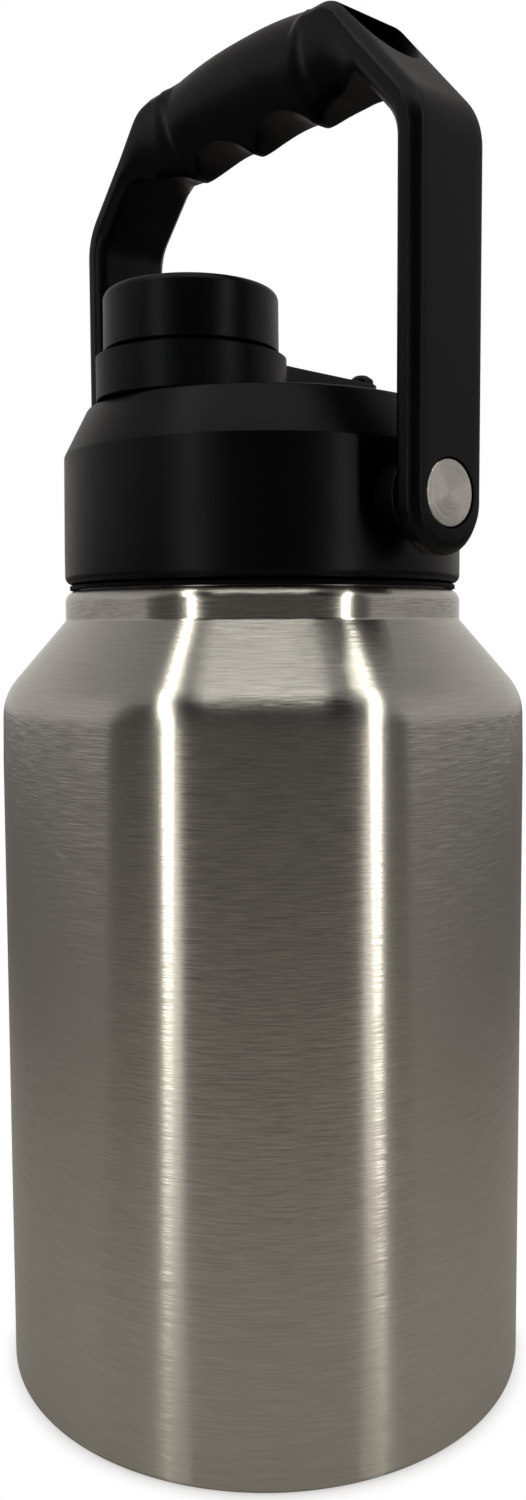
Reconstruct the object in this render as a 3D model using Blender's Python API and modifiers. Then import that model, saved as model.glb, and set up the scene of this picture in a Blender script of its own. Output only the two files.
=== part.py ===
"""Insulated growler: double-wall steel jug, screw lid with a drinking spout,
tethered spout cap and a swinging bail handle.

Blender units are metres, +Z up; the sizes below are in millimetres and MM scales them.
The jug stands on z = 0 with its axis on Z. X is the handle's pivot axis, the spout sits
toward -Y and the tether post toward +Y. Each moving group hangs from an empty on its axis.
"""
import math

import bmesh
import bpy
from mathutils import Vector

for old in list(bpy.data.objects):
    bpy.data.objects.remove(old, do_unlink=True)

MM = 0.001
SEG_BODY = 40          # facets round the jug and the lid
SEG_CAP = 32           # facets round the cap and the spout
SEG_SMALL = 20         # facets round the pivot hardware and the post
GAP = 0.3              # clearance between pieces that touch

# --- jug ---
BODY_R = 64.0          # outside radius of the jug
SHELL_T = 1.0          # outer wall
FLASK_R = 59.5         # outside radius of the inner flask
FLASK_T = 0.8          # inner wall
FLASK_Z = 7.0          # underside of the inner flask
WALL_Z = 150.0         # top of the straight wall
SLOPE_Z = 166.0        # where the shoulder's slope would meet the wall
NECK_Z = 183.7         # foot of the neck ring
NECK_R = 48.5          # steel ring under the lid
RIM_Z = 191.2          # top of the steel
BORE_R = 44.3          # inside of the neck
THREAD_LEAD = 12.0     # rise of the lid per turn

# --- lid ---
LID_R = 48.5
LID_T = 3.0            # wall of the lid
LID_BOTTOM = 192.4
LID_EDGE = 222.8       # where the wall turns into the chamfer
LID_TOP = 234.0
LID_TOP_R = 42.5
PLUG_R = 41.9          # threaded stopper below the lid
PLUG_T = 2.2
PLUG_BOTTOM = 172.0
PLUG_TOP = 199.0

# --- spout, cap and tether ---
SPOUT_Y = -21.5
SPOUT_R = 14.5
SPOUT_BORE = 12.5
SPOUT_TOP = 251.3
CAP_R = 20.5
CAP_T = 1.6
CAP_BOTTOM = 245.5
CAP_TOP = 259.5
CAP_LEAD = 4.5         # rise of the cap per turn
CAP_THREAD_Z = 239.5   # start of the spout's thread
LINER_R = 18.0         # skirt of the liner, below the cap
RING_R = 22.3          # collar of the tether
RING_TOP = 244.3
RING_LIP_R = 18.7      # lip that the liner's bead holds
ARM_TOP = 245.4
ARM_T = 3.5
ARM_ROOT = 7.0         # half the arm's width at the collar
ARM_END = 4.0          # and about the post
POST_Y = 34.6
POST_NECK_R = 1.8

# --- handle ---
PIVOT_Z = 210.05
LEG_OUT = 61.3         # outer face of a leg
LEG_T = 6.9
LEG_IN = LEG_OUT - LEG_T
LEG_W = 11.36          # half the width of a leg
LEG_C = 2.07           # chamfer on the long edges
LEG_END_Z = 208.35     # centre of a leg's half round end
DISC_R = 7.2           # bright disc that covers the pivot screw
SLANT = math.radians(47.7)
KNEE_R = 16.0          # outside radius where leg meets slant
KNEE_Z = 282.28
CORNER_X = 35.36       # where the slant would meet the flat top
CORNER_R = 9.0
FLAT_Z = 317.0         # flat top beside the hump
FLAT_C = 8.0           # depth at which a flat section starts to narrow
HUMP_H = 6.0           # rise of the grip's crown above the flat top
HUMP_X = 28.5          # half the length of the crown
GRIP_R = 11.4          # radius of the rounded crown
RIB_Z = 296.0          # lowest point of the finger ribs
FINGER = 22.7          # finger spacing
GROOVE_TOP = 300.3     # roof of the two middle finger grooves
END_GROOVE_TOP = 298.4  # roof of the two outer ones
INNER_BEND = (38.5, 299.6)  # where an outer groove turns down into the leg
FOOT_STEPS = 10        # facets round a leg's end

# colour, metallic value and roughness of each material
STEEL = ((0.46, 0.45, 0.43), 1.0, 0.32)
DARK_STEEL = ((0.46, 0.45, 0.43), 1.0, 0.4)
BLACK = ((0.018, 0.018, 0.019), 0.0, 0.42)
SOFT_BLACK = ((0.014, 0.014, 0.014), 0.0, 0.55)
GREY_RUBBER = ((0.4, 0.4, 0.4), 0.0, 0.6)
FOAM = ((0.75, 0.7, 0.55), 0.0, 0.95)
GETTER = ((0.2, 0.2, 0.21), 0.3, 0.7)
SATIN = ((0.6, 0.58, 0.56), 1.0, 0.25)
SCREW = ((0.5, 0.5, 0.5), 1.0, 0.35)
NYLON = ((0.5, 0.5, 0.48), 0.0, 0.6)
BRASS = ((0.55, 0.4, 0.16), 1.0, 0.4)


def collection(name):
    made = bpy.data.collections.new(name)
    bpy.context.scene.collection.children.link(made)
    return made


PARTS = collection("growler")
CUTTERS = collection("cutters")


def origin(empty):
    """Place of an empty in the part's frame, through the empties that carry it."""
    return empty.location + (origin(empty.parent) if empty.parent else Vector())


def hang(obj, parent):
    """Let an empty carry an object that was placed in the part's frame."""
    obj.parent = parent
    if parent:
        obj.location -= origin(parent)


def joint_axis(name, at, parent=None):
    """Empty on a joint's axis, which carries what moves about it."""
    empty = bpy.data.objects.new(name, None)
    PARTS.objects.link(empty)
    empty.location = Vector(at) * MM
    hang(empty, parent)
    return empty


LID_AXIS = joint_axis("lid_axis", (0, 0, RIM_Z))
HANDLE_AXIS = joint_axis("handle_axis", (0, 0, PIVOT_Z), LID_AXIS)
CAP_AXIS = joint_axis("cap_axis", (0, SPOUT_Y, CAP_BOTTOM), LID_AXIS)
TETHER_AXIS = joint_axis("tether_axis", (0, POST_Y, ARM_TOP - ARM_T / 2), LID_AXIS)


def dress(obj, look):
    """A material of its own for one piece."""
    rgb, metal, rough = look
    mat = bpy.data.materials.new(obj.name)
    mat.use_nodes = True
    node = mat.node_tree.nodes["Principled BSDF"]
    node.inputs["Base Color"].default_value = (*rgb, 1.0)
    node.inputs["Metallic"].default_value = metal
    node.inputs["Roughness"].default_value = rough
    obj.data.materials.append(mat)


def piece(name, mesh, look, at=(0, 0, 0), parent=None):
    """One named node, placed in the part's frame and carried by its joint's empty."""
    obj = bpy.data.objects.new(name, mesh)
    PARTS.objects.link(obj)
    obj.location = Vector(at) * MM
    hang(obj, parent)
    dress(obj, look)
    return obj


def mesh_of(name, verts, edges, faces):
    """Mesh from vertices in millimetres."""
    mesh = bpy.data.meshes.new(name)
    mesh.from_pydata([Vector(v) * MM for v in verts], edges, faces)
    mesh.update()
    return mesh


def fillet(points, step):
    """Round the corners of a path given as (r, z, radius), with an arc point every step degrees."""
    out = []
    for i, (r, z, rad) in enumerate(points):
        p = Vector((r, z))
        if rad == 0:
            out.append((r, z))
            continue
        a = (Vector(points[i - 1][:2]) - p).normalized()
        b = (Vector(points[i + 1][:2]) - p).normalized()
        half = a.angle(b) / 2
        mid = p + (a + b).normalized() * (rad / math.sin(half))
        start = p + a * (rad / math.tan(half)) - mid
        turn = (math.pi - 2 * half) * math.copysign(1, b.cross(a))
        count = max(2, math.ceil(math.degrees(abs(turn)) / step))
        for k in range(count + 1):
            c, s = math.cos(turn * k / count), math.sin(turn * k / count)
            out.append((mid.x + start.x * c - start.y * s, mid.y + start.x * s + start.y * c))
    return out


def turned(name, path, seg, look, at=(0, 0, 0), parent=None, axis="Z", step=45.0):
    """Turned piece: the path runs down the outer side, and back up the inner side of a ring."""
    points = fillet(path, step)
    edges = [(i, i + 1) for i in range(len(points) - 1)]
    if path[-1][0] > 0:
        edges.append((len(points) - 1, 0))
    mesh = mesh_of(name, [(r, 0, z) for r, z in points], edges, [])
    obj = piece(name, mesh, look, at, parent)
    mod = obj.modifiers.new("turn", "SCREW")
    mod.axis = "Z"
    mod.steps = seg
    mod.render_steps = seg
    mod.use_merge_vertices = True
    mod.merge_threshold = 1e-5
    mod.use_smooth_shade = True
    if axis != "Z":
        # laid along +X or -X, and turned half a facet about its own axis
        obj.rotation_mode = "ZYX"
        obj.rotation_euler = (0, math.copysign(math.pi / 2, 1 if axis == "+X" else -1), math.pi / seg)
    return obj


def boolean(obj, tool, operation):
    """Join or cut a piece with a tool, which rides with it."""
    PARTS.objects.unlink(tool)
    CUTTERS.objects.link(tool)
    tool.hide_render = True
    tool.display_type = "WIRE"
    hang(tool, obj.parent)
    mod = obj.modifiers.new(operation.lower(), "BOOLEAN")
    mod.operation = operation
    mod.solver = "EXACT"
    mod.object = tool


def rod(name, radius, low, high, seg, at):
    """Plain upright cylinder, used as a cutter."""
    return turned(name, [(0, high, 0), (radius, high, 0), (radius, low, 0), (0, low, 0)], seg, BLACK, at)


def ridge(name, root, crest, base, lead, start, turns, seg, at=(0, 0, 0)):
    """Right handed thread ridge of trapezium section, which fades in and out at its ends."""
    tip = base * 0.4
    verts = []
    faces = []
    steps = int(seg * turns)
    for i in range(steps + 1):
        t = i / steps
        fade = min(1.0, t * turns * 8 + 0.15, (1 - t) * turns * 8 + 0.15)
        a = math.pi / seg + 2 * math.pi * turns * t
        z = start + lead * turns * t
        edge = root + (crest - root) * fade
        for r, dz in ((root, -base / 2), (edge, -tip / 2), (edge, tip / 2), (root, base / 2)):
            verts.append((r * math.cos(a), r * math.sin(a), z + dz))
    for i in range(0, steps * 4, 4):
        for k in range(4):
            j = (k + 1) % 4
            faces.append((i + k, i + k + 4, i + j + 4, i + j))
    end = steps * 4
    faces += [(0, 1, 2, 3), (end + 3, end + 2, end + 1, end)]
    if crest < root:
        faces = [face[::-1] for face in faces]
    return piece(name, mesh_of(name, verts, [], faces), BLACK, at)


def slab(name, outline, thick, at, turn=(0, 0, 0)):
    """Flat outline with a thickness: a filled 2D curve, made a mesh so that it can join or cut."""
    curve = bpy.data.curves.new(name, "CURVE")
    curve.dimensions = "2D"
    curve.fill_mode = "BOTH"
    curve.extrude = thick / 2 * MM
    line = curve.splines.new("POLY")
    line.use_cyclic_u = True
    line.points.add(len(outline) - 1)
    for point, (x, y) in zip(line.points, outline):
        point.co = (x * MM, y * MM, 0, 1)
    guide = bpy.data.objects.new(name + "_outline", curve)
    PARTS.objects.link(guide)
    guide.location = Vector(at) * MM
    guide.rotation_euler = turn
    bpy.context.view_layer.update()
    evaluated = guide.evaluated_get(bpy.context.evaluated_depsgraph_get())
    mesh = bpy.data.meshes.new_from_object(evaluated)
    bm = bmesh.new()
    bm.from_mesh(mesh)
    bmesh.ops.remove_doubles(bm, verts=bm.verts, dist=1e-6)
    bmesh.ops.recalc_face_normals(bm, faces=bm.faces)
    bm.to_mesh(mesh)
    bm.free()
    obj = piece(name, mesh, BLACK)
    obj.matrix_world = guide.matrix_world
    bpy.data.objects.remove(guide, do_unlink=True)
    return obj


def make_jug():
    """Outer shell, inner flask with the neck's thread, base plate and what closes the vacuum."""
    rim = BORE_R + FLASK_T + GAP
    foot = BODY_R - 3.6
    inside = BODY_R - SHELL_T
    turned("outer_shell", [
        (rim, RIM_Z - GAP, 0), (rim + 1.5, RIM_Z - GAP, 1.0), (NECK_R, RIM_Z - 3.3, 1.2),
        (NECK_R, NECK_Z, 0.6), (BODY_R - 0.3, SLOPE_Z, 13.0), (BODY_R, WALL_Z, 0), (BODY_R, 0, 1.8), (foot, 0, 0),
        (foot, SHELL_T, 0), (inside, 2.4, 0.8), (inside, WALL_Z, 0), (inside - 0.1, SLOPE_Z - 0.4, 12.0),
        (NECK_R - SHELL_T, NECK_Z - 0.3, 0.6), (NECK_R - SHELL_T, RIM_Z - 3.0, 0.6), (rim, RIM_Z - 1.2, 0)],
        SEG_BODY, STEEL, step=32.0)

    throat = BORE_R + FLASK_T
    cavity = FLASK_R - FLASK_T
    floor = FLASK_Z + FLASK_T
    flask = turned("inner_flask", [
        (throat, RIM_Z, 0), (throat, 179.6, 3.0), (FLASK_R - 0.2, 164.2, 11.0), (FLASK_R, WALL_Z, 0),
        (FLASK_R, FLASK_Z, 9.0), (0, FLASK_Z, 0), (0, floor, 0), (cavity, floor, 8.2),
        (cavity, WALL_Z, 0), (cavity - 0.2, 163.9, 10.2), (BORE_R, 179.3, 2.6), (BORE_R, RIM_Z, 0)],
        SEG_BODY, DARK_STEEL, step=30.0)
    boolean(flask, ridge("neck_thread", BORE_R + 0.4, 42.9, 3.0, THREAD_LEAD, 182.5, 0.5, SEG_BODY), "UNION")

    turned("base_plate", [
        (60.0, 2.8, 0), (60.0, 2.0, 0), (50.0, 2.0, 0), (48.5, 3.4, 0), (12.0, 3.4, 0),
        (10.0, 4.6, 0), (2.0, 4.6, 0), (2.0, 5.4, 0), (10.4, 5.4, 0), (12.4, 4.2, 0),
        (48.8, 4.2, 0), (50.3, 2.8, 0)], SEG_BODY, DARK_STEEL)
    turned("vacuum_seal", [
        (0, 4.3, 0), (9.0, 4.3, 0), (9.0, 3.7, 0), (8.0, 3.3, 0), (0, 3.3, 0)], SEG_SMALL, STEEL)
    turned("getter", [
        (0, 6.5, 0), (6.5, 6.5, 0), (7.0, 6.0, 0), (7.0, 4.5, 0), (0, 4.5, 0)],
        SEG_SMALL, GETTER, at=(28.0, 0, 0))


def make_lid():
    """Lid with its pivot bosses, threaded stopper, foam, neck seal, spout and tether post."""
    inside = LID_R - LID_T
    ceiling = LID_TOP - LID_T
    at_spout = (0, SPOUT_Y, 0)
    hole_r = SPOUT_R + GAP

    lid = turned("lid_body", [
        (0, LID_TOP, 0), (LID_TOP_R, LID_TOP, 0.9), (LID_R, LID_EDGE, 0.9), (LID_R, LID_BOTTOM, 2.0),
        (inside, LID_BOTTOM, 0), (inside, LID_EDGE - 1.2, 0), (LID_TOP_R - 2.1, ceiling, 0), (0, ceiling, 0)],
        SEG_BODY, BLACK, parent=LID_AXIS)
    for axis, tag in (("+X", "right"), ("-X", "left")):
        boss = turned("boss_" + tag, [
            (4.8, 53.2, 0), (8.4, 53.2, 0), (9.0, 52.6, 0), (9.0, 44.0, 0), (0, 44.0, 0), (0, 48.7, 0),
            (4.8, 48.7, 0)], SEG_SMALL, BLACK, (0, 0, PIVOT_Z), axis=axis)
        boolean(lid, boss, "UNION")
    boolean(lid, rod("lid_hole", hole_r, ceiling - 6, LID_TOP + 6, SEG_CAP, at_spout), "DIFFERENCE")

    hollow = PLUG_R - PLUG_T
    plug_floor = PLUG_BOTTOM + 2.4
    flange_z = PLUG_TOP - 2.2
    plug = turned("lid_plug", [
        (inside - GAP, PLUG_TOP, 0), (inside - GAP, flange_z, 0), (PLUG_R, flange_z, 0),
        (PLUG_R, PLUG_BOTTOM, 1.5), (0, PLUG_BOTTOM, 0), (0, plug_floor, 0), (hollow, plug_floor, 0),
        (hollow, PLUG_TOP, 0)], SEG_BODY, BLACK, parent=LID_AXIS)
    boolean(plug, ridge("plug_thread", PLUG_R - 0.5, 43.5, 3.2, THREAD_LEAD, 176.0, 1.25, SEG_BODY), "UNION")
    boolean(plug, rod("plug_hole", hole_r, PLUG_BOTTOM - 7, plug_floor + 6, SEG_CAP, at_spout), "DIFFERENCE")

    foam = turned("lid_foam", [
        (0, ceiling - 0.4, 0), (38.6, ceiling - 0.4, 0), (39.3, 228.0, 0), (39.3, plug_floor + 0.4, 0),
        (0, plug_floor + 0.4, 0)], SEG_BODY, FOAM, parent=LID_AXIS)
    boolean(foam, rod("foam_hole", hole_r, PLUG_BOTTOM - 7, LID_TOP + 6, SEG_CAP, at_spout), "DIFFERENCE")

    seal_top = flange_z - 0.4
    turned("lid_seal", [
        (44.4, seal_top, 0), (44.4, 193.0, 0), (45.0, 192.1, 0), (46.6, 191.9, 0), (46.7, 191.5, 0),
        (42.3, 191.5, 0), (42.3, seal_top, 0)], SEG_BODY, SOFT_BLACK, parent=LID_AXIS)

    spout = turned("spout", [
        (SPOUT_BORE, SPOUT_TOP, 0), (SPOUT_R, SPOUT_TOP, 0.8), (SPOUT_R, PLUG_BOTTOM, 0),
        (SPOUT_BORE, PLUG_BOTTOM, 0)], SEG_CAP, BLACK, at_spout, LID_AXIS)
    boolean(spout, ridge("spout_thread", SPOUT_R - 0.4, 15.6, 1.6, CAP_LEAD, CAP_THREAD_Z, 1.25, SEG_CAP,
                         at_spout), "UNION")

    head_z = ARM_TOP + GAP
    seat_z = ARM_TOP - ARM_T - 0.4
    turned("tether_post", [
        (0, 247.9, 0), (1.6, 247.6, 0), (2.7, 246.8, 0), (3.2, head_z, 0), (POST_NECK_R, head_z, 0),
        (POST_NECK_R, seat_z, 0), (5.2, seat_z, 0.5), (5.4, LID_TOP + GAP, 0), (0, LID_TOP + GAP, 0)],
        SEG_SMALL, BLACK, (0, POST_Y, 0), LID_AXIS)


def make_cap():
    """Spout cap: shell, threaded liner with the bead that keeps the tether on, foam and seal."""
    at = (0, SPOUT_Y, 0)
    roof = CAP_TOP - CAP_T
    turned("cap_shell", [
        (0, CAP_TOP, 0), (CAP_R, CAP_TOP, 1.8), (CAP_R, CAP_BOTTOM, 0.4), (CAP_R - CAP_T, CAP_BOTTOM, 0),
        (CAP_R - CAP_T, roof, 0), (0, roof, 0)], SEG_CAP, BLACK, at, CAP_AXIS, step=30.0)
    liner_top = 255.4
    bore_r = LINER_R - 1.8
    bead_r = LINER_R + 1.0
    liner = turned("cap_liner", [
        (0, liner_top, 0), (LINER_R + 0.5, liner_top, 0), (LINER_R + 0.5, CAP_BOTTOM - 0.5, 0),
        (LINER_R, CAP_BOTTOM - 0.5, 0), (LINER_R, 237.2, 0), (bead_r, 236.6, 0), (bead_r - 0.3, 235.0, 0),
        (bore_r, 235.0, 0), (bore_r, liner_top - 1.8, 0), (0, liner_top - 1.8, 0)],
        SEG_CAP, BLACK, at, CAP_AXIS)
    boolean(liner, ridge("liner_thread", bore_r + 0.4, 15.0, 1.6, CAP_LEAD, CAP_THREAD_Z + CAP_LEAD / 2, 1.0,
                         SEG_CAP, at), "UNION")
    foam_top = roof - GAP
    foam_low = liner_top + GAP
    turned("cap_foam", [
        (0, foam_top, 0), (LINER_R, foam_top, 0), (LINER_R, foam_low, 0), (0, foam_low, 0)],
        SEG_CAP, FOAM, at, CAP_AXIS)
    seal_r = bore_r - 0.4
    seal_top = liner_top - 1.8 - GAP
    seal_low = SPOUT_TOP + GAP
    turned("cap_seal", [(0, seal_top, 0), (seal_r, seal_top, 0), (seal_r, seal_low, 0), (0, seal_low, 0)],
           SEG_CAP, GREY_RUBBER, at, CAP_AXIS)


def make_tether():
    """Captive collar round the liner's skirt, with a tapering arm to an eye on the post."""
    foot = LID_TOP + GAP
    tether = turned("tether", [
        (RING_R, RING_TOP, 0.6), (RING_R, foot, 0), (20.0, foot, 0), (20.0, CAP_THREAD_Z, 0),
        (RING_LIP_R, CAP_THREAD_Z, 0), (RING_LIP_R, RING_TOP, 0)],
        SEG_CAP, SOFT_BLACK, (0, SPOUT_Y, 0), TETHER_AXIS)
    root_y = SPOUT_Y + 20.9 - POST_Y
    outline = [(-ARM_ROOT, root_y)]
    for k in range(13):
        a = math.pi * (1 - k / 12)
        outline.append((ARM_END * math.cos(a), ARM_END * math.sin(a)))
    outline.append((ARM_ROOT, root_y))
    boolean(tether, slab("tether_arm", outline, ARM_T, (0, POST_Y, ARM_TOP - ARM_T / 2)), "UNION")
    eye = rod("eye_hole", POST_NECK_R + 0.5, LID_TOP + 4, ARM_TOP + 5, SEG_SMALL, (0, POST_Y, 0))
    boolean(tether, eye, "DIFFERENCE")


def crown(x):
    """Height of the handle's top: an elliptic hump on the flat top."""
    return FLAT_Z + HUMP_H * math.sqrt(max(0.0, 1 - (x / HUMP_X) ** 2))


def underside(x):
    """Finger grooves: arcs that meet in a rib every finger spacing."""
    t = (x % FINGER) / FINGER * 2 - 1
    roof = GROOVE_TOP if x < FINGER else END_GROOVE_TOP
    return roof - (roof - RIB_Z) * (1 - math.sqrt(1 - 0.96 * t * t)) / 0.8


def half_width(z, top):
    """Half width of the grip at height z: round above, narrowing below like an egg."""
    centre = top - GRIP_R
    t = min(1.0, (centre - z) / (centre - RIB_Z + 0.9))
    return GRIP_R * (1 - t ** 1.8) ** 0.9


def to_middle(width, depth):
    """Last four points of a half section: across its underside to the middle."""
    return [(width * (1 - k / 4), depth) for k in (1, 2, 3, 4)]


def round_section(x):
    """Half section of the rounded grip as (y, depth below the top)."""
    top = crown(x)
    low = underside(x)
    centre = top - GRIP_R
    half = []
    for degrees in (0, 20, 40, 60, 80):
        a = math.radians(degrees)
        half.append((GRIP_R * math.sin(a), GRIP_R * (1 - math.cos(a))))
    for k in (1, 2, 3, 4, 5):
        z = centre + (low - centre) * k / 5
        half.append((half_width(z, top), top - z))
    return half + to_middle(half[-1][0], top - low)


def flat_face():
    """First five points of a flat half section: its outer face and long chamfer."""
    return [((LEG_W - LEG_C) * k / 3, 0) for k in range(4)] + [(LEG_W, LEG_C)]


def flat_section(depth, low_w):
    """Half section with a chamfered flat top, flat sides and a narrowing underside."""
    half = flat_face() + [(LEG_W, (LEG_C + FLAT_C) / 2), (LEG_W, FLAT_C)]
    for width, drop in ((0.25, 0.45), (0.6, 0.8), (1.0, 1.0)):
        half.append((LEG_W + (low_w - LEG_W) * width, FLAT_C + (depth - FLAT_C) * drop))
    return half + to_middle(low_w, depth)


def leg_section():
    """Half section of a leg: flat strip with chamfered long edges."""
    side = [(LEG_W, LEG_C + (LEG_T - 2 * LEG_C) * k / 4) for k in (1, 2, 3, 4)]
    return flat_face() + side + [(LEG_W - LEG_C, LEG_T)] + to_middle(LEG_W - LEG_C, LEG_T)


def mixed(a, b, t):
    return [(p[0] + (q[0] - p[0]) * t, p[1] + (q[1] - p[1]) * t) for p, q in zip(a, b)]


def reaching(outer, inner, section):
    """Station whose section is stretched so that it ends at the inner point."""
    way = Vector(inner) - Vector(outer)
    stretch = way.length / section[-1][1]
    return outer, way.normalized(), [(y, depth * stretch) for y, depth in section]


def handle_stations():
    """From the middle of the grip to a leg's end: (outer point, way inward, half section)."""
    down = Vector((0, -1))
    out = []
    for k in range(7):
        x = FINGER / 2 * (1 - math.cos(math.pi * k / 6))
        out.append(((x, crown(x)), down, round_section(x)))
    x = HUMP_X - 4.0
    out.append(((x, crown(x)), down, round_section(x)))
    for x in (HUMP_X, HUMP_X + 2.9):
        low = underside(x)
        out.append(((x, FLAT_Z), down, flat_section(FLAT_Z - low, half_width(low, FLAT_Z + 4))))

    strip = leg_section()
    thick = flat_section(FLAT_Z - END_GROOVE_TOP, 7.0)
    along = Vector((math.cos(SLANT), -math.sin(SLANT)))
    inward = Vector((-math.sin(SLANT), -math.cos(SLANT)))
    reach = CORNER_R * math.tan(SLANT / 2)
    start = Vector((CORNER_X, FLAT_Z)) + along * reach
    knee = Vector((LEG_OUT - KNEE_R, KNEE_Z))
    stop = knee - inward * KNEE_R
    outer = []
    for k in (1, 2, 3):
        a = SLANT * k / 3
        outer.append(Vector((CORNER_X - reach + CORNER_R * math.sin(a),
                             FLAT_Z - CORNER_R + CORNER_R * math.cos(a))))
    outer += [start + along * run for run in (4.5, 9.0, 14.0)]
    near = Vector((HUMP_X + 2.9, underside(HUMP_X + 2.9)))
    bend = Vector(INNER_BEND)
    far = outer[-1] + inward * LEG_T
    for k, point in enumerate(outer, 1):
        t = k / len(outer)
        inner = near.lerp(bend, t).lerp(bend.lerp(far, t), t)
        out.append(reaching(point, inner, mixed(thick, strip, t * t * (3 - 2 * t))))
    for t in (0.62, 1.0):
        out.append((start.lerp(stop, t), inward, strip))
    for k in (1, 2, 3):
        a = (math.pi / 2 - SLANT) * (1 - k / 3)
        way = Vector((-math.cos(a), -math.sin(a)))
        out.append((knee - way * KNEE_R, way, strip))
    out.append((Vector((LEG_OUT, LEG_END_Z)), Vector((-1, 0)), strip))
    return out


def leg_end(ring, verts):
    """Faces of a leg's half round end, chamfered like the long edges of the leg."""
    n = len(ring)
    rows = []
    for x, r, k in ((LEG_OUT, LEG_W - LEG_C, 3), (LEG_OUT - LEG_C, LEG_W, 4),
                    (LEG_IN + LEG_C, LEG_W, 8), (LEG_IN, LEG_W - LEG_C, 9)):
        row = [ring[k]]
        for step in range(1, FOOT_STEPS):
            a = math.pi * step / FOOT_STEPS
            row.append(len(verts))
            verts.append((x, r * math.cos(a), LEG_END_Z - r * math.sin(a) - PIVOT_Z))
        row.append(ring[n - k])
        rows.append(row)
    faces = [ring[3::-1] + ring[n - 1:n - 3:-1] + rows[0][:0:-1],
             ring[n - 9:n - 13:-1] + ring[13:9:-1] + rows[3][:-1]]
    for outer, inner in zip(rows, rows[1:]):
        for k in range(FOOT_STEPS):
            faces.append([outer[k], outer[k + 1], inner[k + 1], inner[k]])
    # the flat side of the leg has three more points between its chamfers
    side = 2 + FOOT_STEPS
    faces[side] += [ring[7], ring[6], ring[5]]
    last = side + FOOT_STEPS - 1
    faces[last][2:2] = [ring[n - 5], ring[n - 6], ring[n - 7]]
    return faces


def make_handle():
    """Bail handle: half of it lofted from the grip down one leg, and mirrored."""
    verts = []
    faces = []
    rings = []
    for (ox, oz), (dx, dz), section in handle_stations():
        ring = []
        for y, depth in section + [(-y, depth) for y, depth in section[-2:0:-1]]:
            ring.append(len(verts))
            verts.append((ox + dx * depth, y, oz + dz * depth - PIVOT_Z))
        rings.append(ring)
    for a, b in zip(rings, rings[1:]):
        for k in range(len(a)):
            j = (k + 1) % len(a)
            faces.append([a[k], b[k], b[j], a[j]])
    faces += leg_end(rings[-1], verts)
    mesh = mesh_of("handle", verts, [], faces)
    mesh.shade_smooth()
    mesh.set_sharp_from_angle(angle=math.radians(30))
    handle = piece("handle", mesh, BLACK, (0, 0, PIVOT_Z), HANDLE_AXIS)
    mirror = handle.modifiers.new("other_side", "MIRROR")
    mirror.merge_threshold = 1e-5

    # hollow behind each slanted face: flat roof, half oval below
    oval = []
    for k in range(13):
        a = math.pi * k / 12
        oval.append((9.2 * math.copysign(abs(math.cos(a)) ** 0.85, math.cos(a)), -12.0 * math.sin(a) ** 0.85))
    upright = (math.pi / 2, 0, math.pi / 2)
    for side, tag in ((1, "right"), (-1, "left")):
        pocket = slab("pocket_" + tag, oval, 35.0, (side * 46.5, 0, FLAT_Z - 2), upright)
        boolean(handle, pocket, "DIFFERENCE")
    return handle


def make_pivots(handle):
    """On each side: the hole in the leg, and the disc, screw, washer and insert in it."""
    at = (0, 0, PIVOT_Z)
    sink_r = DISC_R + GAP
    disc_out = LEG_OUT - 0.2
    for axis, tag in (("+X", "right"), ("-X", "left")):
        sink = turned("sink_" + tag, [
            (0, 70.0, 0), (sink_r, 70.0, 0), (sink_r, 57.7, 0), (3.0, 57.7, 0), (3.0, 50.0, 0), (0, 50.0, 0)],
            SEG_SMALL, BLACK, at, axis=axis)
        boolean(handle, sink, "DIFFERENCE")
        turned("pivot_disc_" + tag, [
            (0, disc_out, 0), (DISC_R - 0.3, disc_out, 0), (DISC_R, disc_out - 0.3, 0),
            (DISC_R, disc_out - 1.2, 0), (0, disc_out - 1.2, 0)],
            SEG_SMALL, SATIN, at, HANDLE_AXIS, axis)
        turned("pivot_screw_" + tag, [
            (0, 59.6, 0), (5.5, 59.6, 0), (5.5, 58.0, 0), (2.6, 58.0, 0), (2.6, 49.0, 0), (0, 49.0, 0)],
            SEG_SMALL, SCREW, at, LID_AXIS, axis)
        turned("pivot_washer_" + tag, [
            (7.5, 54.1, 0), (7.5, 53.5, 0), (2.9, 53.5, 0), (2.9, 54.1, 0)],
            SEG_SMALL, NYLON, at, LID_AXIS, axis)
        turned("pivot_insert_" + tag, [
            (4.5, 52.9, 0), (4.5, 49.0, 0), (2.9, 49.0, 0), (2.9, 52.9, 0)],
            SEG_SMALL, BRASS, at, LID_AXIS, axis)


make_jug()
make_lid()
make_cap()
make_tether()
make_pivots(make_handle())
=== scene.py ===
"""Looks of the insulated growler: fine surfaces, materials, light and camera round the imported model."""
import math

import bmesh
import bpy
from mathutils import Matrix, Vector


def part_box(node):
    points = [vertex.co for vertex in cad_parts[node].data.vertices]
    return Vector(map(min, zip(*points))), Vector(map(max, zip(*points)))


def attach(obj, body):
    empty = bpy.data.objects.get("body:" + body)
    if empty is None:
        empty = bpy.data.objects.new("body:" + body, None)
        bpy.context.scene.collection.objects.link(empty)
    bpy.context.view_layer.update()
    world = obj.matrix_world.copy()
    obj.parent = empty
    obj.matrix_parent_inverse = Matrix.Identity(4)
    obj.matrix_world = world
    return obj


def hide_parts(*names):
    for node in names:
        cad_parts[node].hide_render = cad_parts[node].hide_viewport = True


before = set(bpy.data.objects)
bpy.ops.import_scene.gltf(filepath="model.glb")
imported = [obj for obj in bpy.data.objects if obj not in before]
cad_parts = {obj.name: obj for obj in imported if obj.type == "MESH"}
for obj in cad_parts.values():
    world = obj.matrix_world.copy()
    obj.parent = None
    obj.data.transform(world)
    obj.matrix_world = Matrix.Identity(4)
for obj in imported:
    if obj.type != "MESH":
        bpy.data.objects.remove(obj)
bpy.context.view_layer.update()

MM = 0.001
COL = bpy.context.scene.collection
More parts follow.
